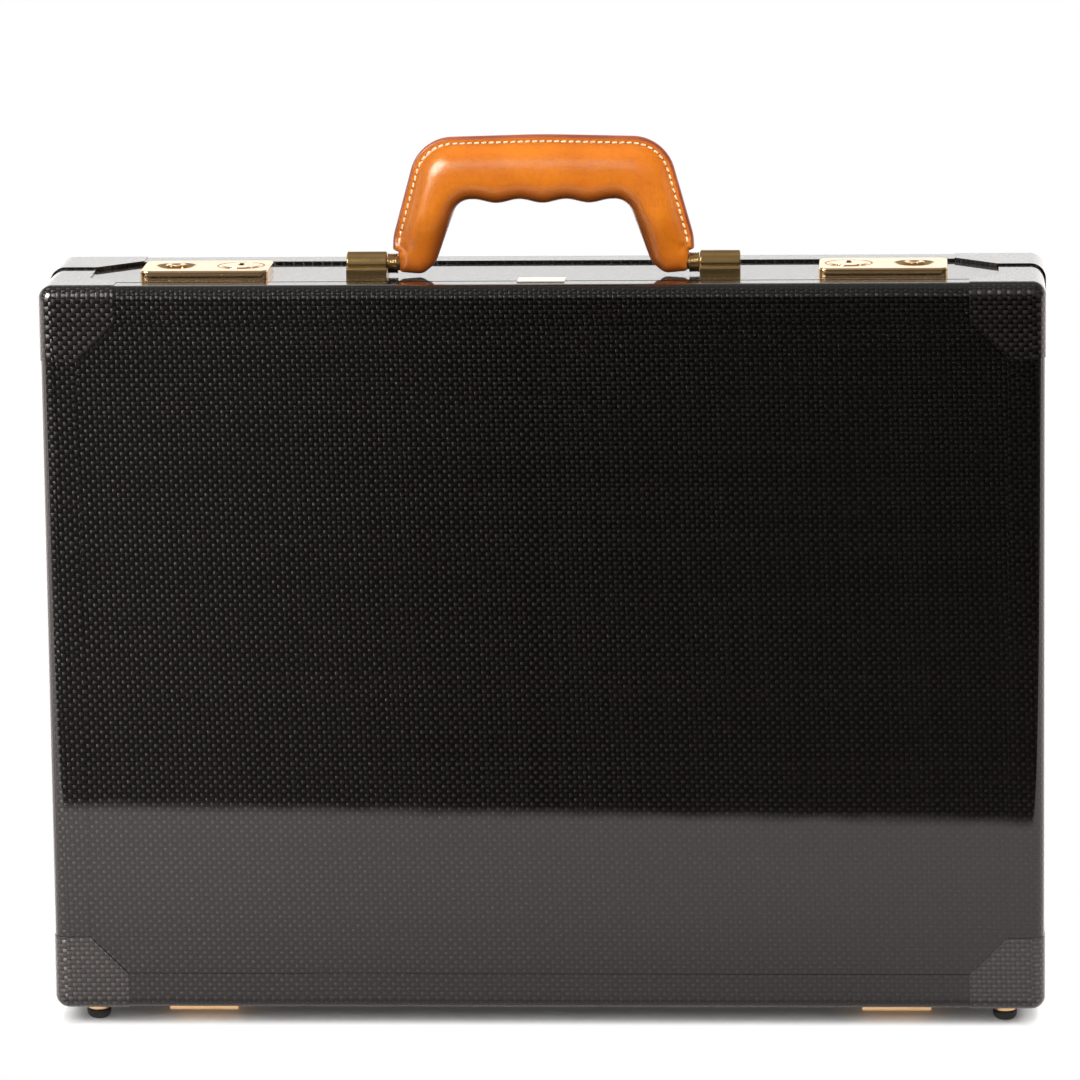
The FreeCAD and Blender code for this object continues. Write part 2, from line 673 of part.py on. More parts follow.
def knuckle(x):
    return rod(KNUCKLE_R, (x[0], HINGE_Y, HINGE_Z), (1, 0, 0), x[1] - x[0])


def leaf(y, z):
    plate = prism(rectangle(HINGE_X, y, 1.0), "XY", z[0], z[1])
    return plate.makeFillet(0.8, [edge for edge in plate.Edges if edge.BoundBox.ZMax < z[0] + 0.1])


def hinge_base_leaf():
    plate = leaf((BASE_LEAF_Y, HINGE_Y - KNUCKLE_R - 0.4), (LEAF_Z, BOTTOM))
    band = box(HINGE_X, (FRONT, FRONT + BAND_WIDTH), (BOTTOM - BAND, BOTTOM))
    parts = [plate]
    for x in ((HINGE_X[0], LID_KNUCKLE_X[0] - 0.3), (LID_KNUCKLE_X[1] + 0.3, HINGE_X[1])):
        parts.append(knuckle(x))
        parts.append(box(x, (HINGE_Y - 4.6, HINGE_Y), (HINGE_Z, HINGE_Z + KNUCKLE_R - 0.1)))
    return minus(joined(parts), hinge_pin(), band, *base_rivets())


def hinge_lid_leaf():
    y = (HINGE_Y + KNUCKLE_R + 0.4, BACK - BAND_WIDTH - 0.4)
    plate = leaf(y, (LEAF_Z, BOTTOM - LID_PROUD))
    web = box(LID_KNUCKLE_X, (HINGE_Y, HINGE_Y + 4.6), (HINGE_Z, HINGE_Z + KNUCKLE_R - 0.1))
    x = LID_KNUCKLE_X
    bore = rod(HINGE_PIN_R + RUNNING, (x[0] - 1, HINGE_Y, HINGE_Z), (1, 0, 0), x[1] - x[0] + 2)
    return minus(joined([plate, web, knuckle(x)]), bore, *lid_rivets())


def hinge_pin():
    return rod(HINGE_PIN_R, (HINGE_X[0], HINGE_Y, HINGE_Z), (1, 0, 0), HINGE_X[1] - HINGE_X[0])


# ---- feet ---------------------------------------------------------------------------------------
def foot_screw(y, wall_z):
    head = rod(3.0, (FOOT_X, y, wall_z + WALL), (0, 0, 1), 1.6)
    return head.fuse(rod(1.5, (FOOT_X, y, 3.2), (0, 0, 1), wall_z + WALL - 3.2))


def foot_cup(y, wall_z):
    """A brass washer against the corner cap."""
    top = wall_z - CAP
    cup = rod(CUP_R, (FOOT_X, y, top - CUP_HEIGHT), (0, 0, 1), CUP_HEIGHT)
    return cup.cut(foot_screw(y, wall_z))


def foot_pad(y, wall_z):
    """A rubber dome with a flat bottom."""
    top = wall_z - CAP - CUP_HEIGHT
    pad = rod(PAD_R, (FOOT_X, y, 0), (0, 0, 1), top)
    pad = pad.makeFillet(PAD_ROUND, [edge for edge in pad.Edges if edge.BoundBox.ZMax < 0.1])
    pad = pad.makeFillet(0.5, [edge for edge in pad.Edges if edge.BoundBox.ZMin > top - 0.1])
    return pad.cut(foot_screw(y, wall_z))


# ---- lid stays ----------------------------------------------------------------------------------
def stud(y, inner_x, end_x):
    """A shouldered stud through the lining, with a round head inside the stay arm."""
    shaft = rod(STUD_R, (STAY_X[0] - 0.5, y, STUD_Z), (1, 0, 0), end_x - STAY_X[0] + 0.5)
    shoulder = rod(2.6, (STAY_X[1] + 0.4, y, STUD_Z), (1, 0, 0), inner_x - STAY_X[1] - 0.4)
    head = rod(3.4, (STAY_X[0] - 1.6, y, STUD_Z), (1, 0, 0), 1.2)
    head = head.makeFillet(0.5, [edge for edge in head.Edges if edge.BoundBox.XMax < STAY_X[0] - 1.5])
    return joined([shaft, shoulder, head])


def base_stud():
    return stud(SEAM_Y - STUD_DY, BASE_FRAME_INNER, HALF - WALL - 1)


def lid_stud():
    return stud(SEAM_Y + STUD_DY, LID_FRAME_INNER, HALF + LID_PROUD - WALL - 1)


def stay_arm():
    """A flat slotted arm: pivots on the lid's stud and slides over the base's stud."""
    y = SEAM_Y + STUD_DY
    closed = 2 * STUD_DY
    opened = 2 * STAY_R * math.sin(math.radians(STAY_HALF_ANGLE + STAY_OPEN_ANGLE / 2))
    half = STAY_WIDTH / 2
    end = opened + 4.3
    z = (STUD_Z - half, STUD_Z + half)
    body = prism(rectangle((y - end, y + half), z, half - 0.01), "YZ", *STAY_X)
    slot_half = STUD_R + 0.09
    slot_y = (y - opened - slot_half, y - closed + slot_half)
    slot_z = (STUD_Z - slot_half, STUD_Z + slot_half)
    slot = prism(rectangle(slot_y, slot_z, slot_half - 0.01), "YZ", *STAY_X)
    hole = rod(STUD_R + RUNNING, (STAY_X[0] - 1, y, STUD_Z), (1, 0, 0), 4)
    return minus(body, slot, hole)


# ---- what is drilled through the shells ---------------------------------------------------------
def base_drillings():
    """Right-hand tools that cut the base shell."""
    tools = [stem_hole(), shaft_hole(), foot_screw(-FOOT_Y, BOTTOM)]
    return tools + lock_screws() + bracket_screws() + base_rivets()


def lid_drillings():
    return [foot_screw(FOOT_Y, BOTTOM - LID_PROUD)] + lid_rivets()


# ---- the pieces ---------------------------------------------------------------------------------
def corner_caps():
    nodes = {}
    shells = {
        "base": (envelope(CAP).cut(envelope(0)), base_zones(), base_side(), foot_screw(-FOOT_Y, BOTTOM)),
        "lid": (lid_envelope(CAP).cut(lid_envelope(0)), lid_zones(), lid_side(),
                foot_screw(FOOT_Y, BOTTOM - LID_PROUD)),
    }
    for name, (skin, zones, side, screw) in shells.items():
        for level, cap in caps(skin, zones, side).items():
            if level == "bottom":
                cap = cap.cut(screw)
            nodes[name + "_cap_" + level + "_right"] = [cap]
            nodes[name + "_cap_" + level + "_left"] = [left_of(cap)]
    return nodes


def handed(name, shape):
    return {name + "_right": [shape], name + "_left": [left_of(shape)]}


def mirrored(shapes):
    return [copy for shape in shapes for copy in both(shape)]


def all_nodes():
    """Every node's name with its list of solids."""
    lid_wall = BOTTOM - LID_PROUD
    nodes = {
        "base_shell": [base_shell()],
        "lid_shell": [lid_shell()],
        "base_edge_band": [base_edge_band()],
        "lid_edge_band": [lid_edge_band()],
        "base_rim_frame": [base_rim_frame()],
        "lid_rim_frame": [lid_rim_frame()],
        "base_lining": base_lining(),
        "lid_lining": lid_lining(),
        "document_pocket": document_pocket(),
        "pen_loops": pen_loops(),
        "name_plate": [name_plate()],
        "lock_backing_plates": mirrored([lock_backing()]),
        "lock_screws": mirrored(lock_screws()),
        "keeper_screws": mirrored(keeper_screws()),
        "handle_pins": mirrored([handle_pin()]),
        "handle_bracket_screws": mirrored(bracket_screws()),
        "handle_stiffener": [handle_stiffener()],
        "handle_ferrules": mirrored([ferrule()]),
        "handle_core": [handle_core()],
        "handle_leather": [handle_leather()],
        "hinge_pins": mirrored([hinge_pin()]),
        "hinge_base_rivets": mirrored(base_rivets()),
        "hinge_lid_rivets": mirrored(lid_rivets()),
        "base_foot_cups": mirrored([foot_cup(-FOOT_Y, BOTTOM)]),
        "base_foot_pads": mirrored([foot_pad(-FOOT_Y, BOTTOM)]),
        "base_foot_screws": mirrored([foot_screw(-FOOT_Y, BOTTOM)]),
        "lid_foot_cups": mirrored([foot_cup(FOOT_Y, lid_wall)]),
        "lid_foot_pads": mirrored([foot_pad(FOOT_Y, lid_wall)]),
        "lid_foot_screws": mirrored([foot_screw(FOOT_Y, lid_wall)]),
        "stay_base_studs": mirrored([base_stud()]),
        "stay_lid_studs": mirrored([lid_stud()]),
    }
    nodes.update(corner_caps())
    nodes.update(handed("lock_plate", lock_plate()))
    nodes.update(handed("latch_strip", latch_strip()))
    nodes.update(handed("release_button", release_button()))
    nodes.update(handed("key_cylinder", key_cylinder()))
    nodes.update(handed("key_cam", key_cam()))
    nodes.update(handed("keeper", keeper()))
    nodes.update(handed("handle_bracket", handle_bracket()))
    nodes.update(handed("hinge_base_leaf", hinge_base_leaf()))
    nodes.update(handed("hinge_lid_leaf", hinge_lid_leaf()))
    nodes.update(handed("stay_arm", stay_arm()))
    return nodes


def write(name, shapes):
    """Export one node and say what it holds."""
    solids = [solid for shape in shapes for solid in shape.Solids]
    shape = solids[0] if len(solids) == 1 else Part.makeCompound(solids)
    shape.exportStep(os.path.join("parts", name + ".step"))
    volume = sum(solid.Volume for solid in solids)
    print(f"{name:28s} solids {len(solids):2d}  volume {volume / 1000:9.3f} cm3  valid {shape.isValid()}")


os.makedirs("parts", exist_ok=True)
for node_name, node_shapes in sorted(all_nodes().items()):
    write(node_name, node_shapes)
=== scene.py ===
"""Looks of a hard attache case: woven carbon shells, gilt fittings and a stitched leather grip.

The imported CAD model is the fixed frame. Lengths below are in millimetres where they say MM."""

import json
import math

import bmesh
import bpy
import numpy as np
from mathutils import Euler, Matrix, Vector

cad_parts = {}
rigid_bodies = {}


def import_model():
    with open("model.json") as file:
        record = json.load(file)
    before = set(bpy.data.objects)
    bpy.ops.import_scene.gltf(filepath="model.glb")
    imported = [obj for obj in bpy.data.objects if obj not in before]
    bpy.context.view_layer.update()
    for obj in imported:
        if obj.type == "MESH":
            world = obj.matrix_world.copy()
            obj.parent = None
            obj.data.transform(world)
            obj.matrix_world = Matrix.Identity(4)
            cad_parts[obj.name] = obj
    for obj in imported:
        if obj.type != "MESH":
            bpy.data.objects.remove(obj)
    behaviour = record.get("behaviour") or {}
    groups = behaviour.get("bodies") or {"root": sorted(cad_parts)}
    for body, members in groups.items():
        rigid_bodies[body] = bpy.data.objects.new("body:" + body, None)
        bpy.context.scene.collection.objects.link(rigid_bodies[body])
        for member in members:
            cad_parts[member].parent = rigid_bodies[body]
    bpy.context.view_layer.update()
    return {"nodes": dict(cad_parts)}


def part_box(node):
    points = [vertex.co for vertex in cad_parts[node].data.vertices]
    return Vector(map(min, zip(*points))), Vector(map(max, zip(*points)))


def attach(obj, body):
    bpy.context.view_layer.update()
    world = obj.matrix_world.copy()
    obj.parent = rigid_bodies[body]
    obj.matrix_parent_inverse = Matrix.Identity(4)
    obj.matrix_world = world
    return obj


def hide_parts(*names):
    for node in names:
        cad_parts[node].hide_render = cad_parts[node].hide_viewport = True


MM = 0.001

for leftover in list(bpy.data.objects):
    bpy.data.objects.remove(leftover)

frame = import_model()
NODES = frame["nodes"]
SCENE = bpy.context.scene

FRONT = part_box("base_shell")[0].y
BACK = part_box("lid_shell")[1].y
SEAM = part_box("lid_shell")[0].y
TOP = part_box("base_shell")[1].z
HALF_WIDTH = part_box("base_shell")[1].x
MIDDLE_Z = (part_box("base_shell")[0].z + TOP) / 2


# ---- node graphs --------------------------------------------------------------------------------
class Graph:
    """Short calls that add nodes to one node tree."""

    def __init__(self, tree):
        self.tree = tree
        tree.nodes.clear()

    def node(self, kind, inputs=None, **settings):
        made = self.tree.nodes.new(kind)
        for key, value in settings.items():
            setattr(made, key, value)
        for key, value in (inputs or {}).items():
            self.feed(made.inputs[key], value)
        return made

    def feed(self, socket, value):
        if isinstance(value, bpy.types.NodeSocket):
            self.tree.links.new(value, socket)
        else:
            socket.default_value = value

    def math(self, operation, a, b=0.0, c=0.0):
        return self.node("ShaderNodeMath", {0: a, 1: b, 2: c}, operation=operation).outputs[0]

    def add(self, a, b):
        return self.math("ADD", a, b)

    def times(self, a, b):
        return self.math("MULTIPLY", a, b)

    def between(self, share, a, b):
        """a where share is 0, b where it is 1."""
        made = self.node("ShaderNodeMix", data_type="FLOAT", clamp_factor=True)
        self.feed(made.inputs[0], share)
        self.feed(made.inputs[2], a)
        self.feed(made.inputs[3], b)
        return made.outputs[0]

    def tint(self, share, a, b):
        """Colour a where share is 0, colour b where it is 1."""
        made = self.node("ShaderNodeMix", data_type="RGBA", clamp_factor=True)
        self.feed(made.inputs[0], share)
        self.feed(made.inputs[6], a)
        self.feed(made.inputs[7], b)
        return made.outputs[2]

    def ease(self, value, low, high, to_low=0.0, to_high=1.0):
        """A smooth step of value from low to high."""
        inputs = {0: value, 1: low, 2: high, 3: to_low, 4: to_high}
        return self.node("ShaderNodeMapRange", inputs, interpolation_type="SMOOTHSTEP").outputs[0]

    def place(self):
        """The piece's own coordinates, which are the case's, in metres."""
        return self.node("ShaderNodeTexCoord").outputs["Object"]

    def parts_of(self, vector):
        return self.node("ShaderNodeSeparateXYZ", {0: vector}).outputs

    def join(self, x, y, z):
        return self.node("ShaderNodeCombineXYZ", {0: x, 1: y, 2: z}).outputs[0]

    def stretch(self, vector, scale):
        """The vector with each part multiplied, to draw a pattern out into streaks."""
        made = self.node("ShaderNodeVectorMath", {0: vector, 1: scale}, operation="MULTIPLY")
        return made.outputs[0]

    def noise(self, vector, size, detail=3.0, roughness=0.5):
        """Noise whose blotches are about size metres across."""
        inputs = {"Vector": vector, "Scale": 1 / size, "Detail": detail, "Roughness": roughness}
        return self.node("ShaderNodeTexNoise", inputs).outputs[0]

    def cells(self, vector, size, feature="F1"):
        inputs = {"Vector": vector, "Scale": 1 / size}
        return self.node("ShaderNodeTexVoronoi", inputs, feature=feature).outputs["Distance"]

    def relief(self, height, depth, normal=None):
        """A bump whose height of 1 is depth metres."""
        made = self.node("ShaderNodeBump", {"Distance": depth, "Height": height})
        if normal is not None:
            self.feed(made.inputs["Normal"], normal)
        return made.outputs[0]

    def soft_edges(self, radius):
        """The normal with sharp edges rounded over to radius."""
        return self.node("ShaderNodeBevel", {"Radius": radius}, samples=4).outputs[0]


def material(name):
    made = bpy.data.materials.new(name)
    made.use_nodes = True
    return made, Graph(made.node_tree)


def surface(graph, **values):
    """The principled surface; a name's underscores are the socket's spaces."""
    shader = graph.node("ShaderNodeBsdfPrincipled")
    for key, value in values.items():
        graph.feed(shader.inputs[key.replace("_", " ")], value)
    out = graph.node("ShaderNodeOutputMaterial")
    graph.tree.links.new(shader.outputs[0], out.inputs[0])


# ---- materials ----------------------------------------------------------------------------------
TOW = (2.06 * MM, 1.96 * MM)     # width of the upright and the level carbon tows
TOW_SKEW = 0.028            # how far the upright tows lean


def weave(g, place, face_y, shift):
    """(weft, across, along, tow number, u, v) of a plain weave that lies flat on the big face at
    face_y and wraps over the edges. Weft is 1 where the level tow is on top. Across and along run
    from -1 to 1 over each crossing; u and v count the tows."""
    x, y, z = g.parts_of(place)
    nx, _, nz = g.parts_of(g.node("ShaderNodeTexCoord").outputs["Normal"])
    depth = g.math("ABSOLUTE", g.math("SUBTRACT", y, face_y))
    side = g.math("GREATER_THAN", g.math("ABSOLUTE", nx), g.math("ABSOLUTE", nz))
    end = g.math("SUBTRACT", 1.0, side)
    above = g.math("SUBTRACT", z, MIDDLE_Z)
    past_x = g.times(g.times(g.math("SIGN", x), depth), side)
    past_z = g.times(g.times(g.math("SIGN", above), depth), end)
    waver = g.times(g.math("SUBTRACT", g.noise(place, 60 * MM, 1.0), 0.5), 0.4)
    across_x = g.add(g.add(x, past_x), g.times(above, TOW_SKEW))
    u = g.add(g.times(across_x, 1 / TOW[0]), g.add(waver, shift))
    v = g.add(g.times(g.add(z, past_z), 1 / TOW[1]), g.add(waver, shift))
    column = g.math("FLOOR", u)
    row = g.math("FLOOR", v)
    weft = g.math("FLOORED_MODULO", g.add(column, row), 2.0)
    in_u = g.math("FRACT", u)
    in_v = g.math("FRACT", v)
    across = g.math("MULTIPLY_ADD", g.between(weft, in_u, in_v), 2.0, -1.0)
    along = g.math("MULTIPLY_ADD", g.between(weft, in_v, in_u), 2.0, -1.0)
    return weft, across, along, g.between(weft, column, row), u, v


def across_tows(g, weft):
    """The direction across the upper tow's fibres, in the plane of the surface."""
    nx, _, nz = g.parts_of(g.node("ShaderNodeTexCoord").outputs["Normal"])
    on_side = g.math("GREATER_THAN", g.math("ABSOLUTE", nx), 0.7)
    on_end = g.math("GREATER_THAN", g.math("ABSOLUTE", nz), 0.7)
    off_side = g.math("SUBTRACT", 1.0, on_side)
    off_end = g.math("SUBTRACT", 1.0, on_end)
    upright = g.math("SUBTRACT", 1.0, weft)
    x = g.times(upright, off_side)
    z = g.times(weft, off_end)
    y = g.add(g.times(upright, on_side), g.times(weft, on_end))
    local = g.join(x, y, z)
    return g.node("ShaderNodeVectorTransform", {0: local}, vector_type="VECTOR",
                  convert_from="OBJECT", convert_to="WORLD").outputs[0]


def carbon(name, face_y, shift, painted_tow_contrast, relief, lift):
    """Plain-woven carbon under clear lacquer. The contrast argument sets a painted difference in
    brightness between the two directions of tow, standing in for how differently they catch the light;
    relief is the height of a crossing and lift the fibres' brightness. Painted shade also darkens the
    lower and right-hand part of each crossing."""
    made, g = material(name)
    place = g.place()
    weft, across, along, tow, u, v = weave(g, place, face_y, shift)
    round_across = g.math("SUBTRACT", 1.0, g.math("POWER", g.math("ABSOLUTE", across), 2.6))
    round_along = g.math("SUBTRACT", 1.0, g.math("POWER", g.math("ABSOLUTE", along), 2.0))
    height = g.add(g.times(round_across, 0.55), g.times(round_along, 0.45))
    mood = g.node("ShaderNodeTexWhiteNoise", {"W": tow}, noise_dimensions="1D").outputs[0]
    flat = g.join(u, v, 0.0)
    fibre_u = g.noise(g.stretch(flat, (14.0, 0.7, 1.0)), 1.0, 2.0)
    fibre_v = g.noise(g.stretch(flat, (0.7, 14.0, 1.0)), 1.0, 2.0)
    fibre = g.between(weft, fibre_u, fibre_v)
    # painted light: the level tows get a lighter colour than the upright ones, standing in for how
    # differently the two directions catch the light
    shade = g.between(weft, 1.0 - painted_tow_contrast, 1.0)
    shade = g.times(shade, g.math("MULTIPLY_ADD", mood, 0.3, 0.85))
    shade = g.times(shade, g.math("MULTIPLY_ADD", fibre, 0.7, 0.65))
    shade = g.times(shade, g.ease(g.math("ABSOLUTE", across), 0.84, 1.0, 1.0, 0.2))
    # painted shade: the lower, downward-facing part of each crossing and its right-hand part, away from
    # the key light, are darkened in the colour
    shade = g.times(shade, g.ease(g.between(weft, along, across), -0.7, 0.3, 0.30, 1.0))
    shade = g.times(shade, g.ease(g.between(weft, across, along), -0.3, 0.7, 1.0, 0.55))
    colour = g.tint(shade, (0.0012, 0.0012, 0.0012, 1), (lift, lift * 0.90, lift * 0.84, 1))
    ripple = g.relief(g.noise(place, 16 * MM, 1.0), 0.015 * MM, g.soft_edges(0.1 * MM))
    rough = g.math("MULTIPLY_ADD", fibre, 0.10, 0.34)
    surface(g, Base_Color=colour, Metallic=1.0, Roughness=rough, Normal=g.relief(height, relief),
            Anisotropic=0.9, Tangent=across_tows(g, weft), Coat_Weight=1.0, Coat_Roughness=0.025,
            Coat_IOR=1.5, Coat_Normal=ripple)
    return made


def metal(name, colour, dark, roughness, streak, edge):
    """Plated metal with drawn streaks, small specks and cloudy tarnish. Streak is the depth of the
    streaks and edge the rounding of its sharp edges."""
    made, g = material(name)
    place = g.place()
    streaks = g.noise(g.stretch(place, (0.05, 0.05, 1.0)), 0.5 * MM, 2.0)
    clouds = g.noise(place, 9 * MM, 3.0, 0.5)
    specks = g.ease(g.cells(place, 6.0 * MM), 0.02, 0.05, 1.0, 0.0)
    tone = g.tint(g.ease(clouds, 0.40, 0.80, 0.0, 0.35), colour, dark)
    tone = g.tint(g.times(specks, 0.2), tone, dark)
    rough = g.add(g.math("MULTIPLY_ADD", clouds, 0.10, roughness - 0.05), g.times(specks, 0.08))
    rough = g.add(rough, g.math("MULTIPLY_ADD", streaks, 0.06, -0.03))
    bumped = g.relief(streaks, streak, g.soft_edges(edge))
    surface(g, Base_Color=tone, Metallic=1.0, Roughness=rough, Normal=bumped)
    return made


def leather_grain(g, place, size):
    """Height of a fine pebbled grain with creases."""
    pebble = g.cells(place, size)
    crease = g.ease(g.cells(place, size * 3.1, "DISTANCE_TO_EDGE"), 0.0, 0.09)
    return g.add(g.times(pebble, -0.5), g.times(crease, 0.5))


def saddle_leather():
    """Vegetable-tanned leather, burnished dark at the welt's cut edge, and darker along the finger side
    underneath with painted shade and some handling wear.
    """
    made, g = material("saddle_leather_worn")
    place = g.place()
    edge = g.node("ShaderNodeAttribute", attribute_name="from_edge").outputs["Fac"]
    under = g.node("ShaderNodeAttribute", attribute_name="from_fingers").outputs["Fac"]
    clouds = g.noise(place, 22 * MM, 4.0, 0.55)
    fine = g.noise(place, 2.2 * MM, 3.0, 0.6)
    tone = g.tint(g.ease(clouds, 0.3, 0.7), (0.60, 0.168, 0.010, 1), (0.51, 0.130, 0.008, 1))
    tone = g.tint(g.ease(fine, 0.45, 0.8, 0.0, 0.35), tone, (0.34, 0.085, 0.007, 1))
    scuff = g.ease(g.noise(g.stretch(place, (0.35, 1.0, 1.0)), 5 * MM, 5.0, 0.65), 0.62, 0.74, 0.0, 0.4)
    tone = g.tint(scuff, tone, (0.28, 0.066, 0.008, 1))
    # painted shade mixed with handling wear: the colour darkens towards the finger side, the grip's
    # underside, where little light reaches
    underside_shade_and_wear = g.ease(g.add(under, g.times(clouds, 2.0)), 0.6, 10.5, 1.0, 0.0)
    tone = g.tint(g.times(underside_shade_and_wear, 0.9), tone, (0.17, 0.035, 0.007, 1))
    ragged = g.add(edge, g.times(g.math("SUBTRACT", fine, 0.5), 0.5))
    welt = g.ease(ragged, 0.8, 1.7, 1.0, 0.0)
    dye = g.tint(g.ease(clouds, 0.3, 0.7), (0.32, 0.068, 0.020, 1), (0.20, 0.034, 0.011, 1))
    tone = g.tint(welt, tone, dye)
    groove = g.ease(g.math("ABSOLUTE", g.math("SUBTRACT", edge, 2.75)), 0.15, 0.55, 1.0, 0.0)
    tone = g.tint(g.times(groove, 0.55), tone, (0.22, 0.05, 0.012, 1))
    height = g.add(leather_grain(g, place, 0.55 * MM), g.times(fine, 0.6))
    rough = g.add(g.math("MULTIPLY_ADD", fine, 0.10, 0.18), g.times(welt, 0.16))
    surface(g, Base_Color=tone, Roughness=rough, Normal=g.relief(height, 0.045 * MM),
            Specular_IOR_Level=0.42)
    return made


def lining_leather():
    """Soft lambskin glued to the boards: finer grain, slightly napped."""
    made, g = material("lining_leather_soft")
    place = g.place()
    clouds = g.noise(place, 45 * MM, 4.0, 0.6)
    fine = g.noise(place, 1.6 * MM, 3.0, 0.6)
    tone = g.tint(g.ease(clouds, 0.3, 0.7), (0.40, 0.155, 0.045, 1), (0.32, 0.112, 0.030, 1))
    tone = g.tint(g.ease(fine, 0.4, 0.8, 0.0, 0.4), tone, (0.24, 0.08, 0.022, 1))
    height = g.add(leather_grain(g, place, 0.8 * MM), g.times(g.noise(place, 12 * MM), 1.2))
    rough = g.math("MULTIPLY_ADD", fine, 0.2, 0.48)
    surface(g, Base_Color=tone, Roughness=rough, Normal=g.relief(height, 0.08 * MM),
            Sheen_Weight=0.15, Sheen_Roughness=0.5)
    return made


def anodised(name, colour, edge_tone):
    """Bead-blasted aluminium with a dyed skin, lighter in cloudy patches, its sharp edges rounded over.
    """
    made, g = material(name)
    place = g.place()
    fine = g.noise(place, 0.45 * MM, 2.0)
    clouds = g.noise(place, 18 * MM, 4.0)
    tone = g.tint(g.ease(clouds, 0.55, 0.8, 0.0, 0.6), colour, edge_tone)
    rough = g.math("MULTIPLY_ADD", clouds, 0.15, 0.48)
    surface(g, Base_Color=tone, Roughness=rough, Specular_IOR_Level=0.25,
            Normal=g.relief(fine, 0.03 * MM, g.soft_edges(0.3 * MM)))
    return made


def foot_rubber():
    """Matt black rubber with mould bloom and dust near the ground."""
    made, g = material("foot_rubber_dusty")
    place = g.place()
    _, _, z = g.parts_of(place)
    fine = g.noise(place, 0.6 * MM, 3.0)
    dust = g.times(g.ease(z, 0.5 * MM, 4 * MM, 1.0, 0.0), g.ease(fine, 0.4, 0.7))
    tone = g.tint(g.times(dust, 0.6), (0.010, 0.010, 0.011, 1), (0.10, 0.09, 0.08, 1))
    rough = g.math("MULTIPLY_ADD", fine, 0.2, 0.5)
    surface(g, Base_Color=tone, Roughness=rough, Normal=g.relief(fine, 0.05 * MM))
    return made


def thread(name, colour, shade):
    """Waxed linen thread, twisted, with its lay shown by slanting grooves."""
    made, g = material(name)
    place = g.place()
    wave = g.node("ShaderNodeTexWave", {"Vector": place, "Scale": 1 / (1.9 * MM), "Distortion": 0.6},
                  bands_direction="DIAGONAL").outputs[1]
    fuzz = g.noise(place, 0.3 * MM, 2.0)
    tone = g.tint(g.times(wave, 0.5), colour, shade)
    tone = g.tint(g.ease(fuzz, 0.5, 0.9, 0.0, 0.5), tone, shade)
    surface(g, Base_Color=tone, Roughness=0.55, Normal=g.relief(wave, 0.05 * MM))
    return made


CARBON_BASE = carbon("carbon_base", FRONT, 0.0, 0.45, 0.30 * MM, 0.028)
CARBON_LID = carbon("carbon_lid", BACK, 0.0, 0.45, 0.30 * MM, 0.028)
BAND_BASE = carbon("carbon_base_band", FRONT, 0.21, 0.45, 0.28 * MM, 0.030)
BAND_LID = carbon("carbon_lid_band", BACK, 0.21, 0.45, 0.28 * MM, 0.030)
TRIM_BASE = carbon("carbon_base_trim", FRONT, 0.43, 0.55, 0.12 * MM, 0.095)
TRIM_LID = carbon("carbon_lid_trim", BACK, 0.43, 0.55, 0.12 * MM, 0.095)
GILT = metal("gilt_polished", (0.91, 0.61, 0.32, 1), (0.68, 0.38, 0.14, 1), 0.12, 0.0006 * MM, 0.4 * MM)
PLATE = metal("gilt_plate", (0.95, 0.84, 0.70, 1), (0.86, 0.68, 0.46, 1), 0.18, 0.002 * MM, 0.2 * MM)
BRASS = metal("brass_aged", (0.50, 0.33, 0.14, 1), (0.30, 0.19, 0.07, 1), 0.20, 0.0008 * MM, 0.3 * MM)
STEEL = metal("steel_plated", (0.62, 0.60, 0.57, 1), (0.30, 0.28, 0.26, 1), 0.22, 0.003 * MM, 0.25 * MM)
SPRING = metal("spring_steel_blued", (0.30, 0.31, 0.34, 1), (0.10, 0.10, 0.13, 1), 0.26, 0.004 * MM,
               0.2 * MM)
SADDLE = saddle_leather()
LINING = lining_leather()
BLACK = anodised("aluminium_black", (0.012, 0.012, 0.013, 1), (0.05, 0.05, 0.05, 1))
RUBBER = foot_rubber()
STITCH = thread("thread_cream", (0.86, 0.72, 0.48, 1), (0.52, 0.34, 0.16, 1))
LINING_STITCH = thread("thread_tan", (0.62, 0.38, 0.16, 1), (0.30, 0.15, 0.05, 1))

FINISHES = (
    (CARBON_BASE, "base_shell"),
    (CARBON_LID, "lid_shell"),
    (BAND_BASE, "base_edge_band"),
    (BAND_LID, "lid_edge_band"),
    (TRIM_BASE, "base_cap_"),
    (TRIM_LID, "lid_cap_"),
    (GILT, "lock_plate_ release_button_ key_cylinder_ keeper_left keeper_right hinge_ stay_ "
           "base_foot_cups lid_foot_cups"),
    (PLATE, "name_plate"),
    (BRASS, "handle_bracket_left handle_bracket_right handle_ferrules"),
    (STEEL, "handle_bracket_screws handle_pins handle_stiffener handle_core lock_screws "
            "lock_backing_plates keeper_screws key_cam_ base_foot_screws lid_foot_screws"),
    (SPRING, "latch_strip_"),
    (LINING, "base_lining lid_lining document_pocket pen_loops"),
    (BLACK, "base_rim_frame lid_rim_frame"),
    (RUBBER, "base_foot_pads lid_foot_pads"),
)


def dress_cad_nodes():
    """Gives each shown CAD node its finish; a name that ends in _ stands for all that start so."""
    for finish, names in FINISHES:
        for start in names.split():
            for node, piece in NODES.items():
                if node == start or (start.endswith("_") and node.startswith(start)):
                    piece.data.materials.clear()
                    piece.data.materials.append(finish)


# ---- meshes -------------------------------------------------------------------------------------
def mesh_piece(name, vertices, faces, finish, smooth=True):
    """A mesh from points in millimetres."""
    mesh = bpy.data.meshes.new(name)
    mesh.from_pydata([tuple(p) for p in np.asarray(vertices) * MM], [], faces)
    mesh.polygons.foreach_set("use_smooth", [smooth] * len(mesh.polygons))
    mesh.materials.append(finish)
    mesh.update()
    piece = bpy.data.objects.new(name, mesh)
    SCENE.collection.objects.link(piece)
    return piece


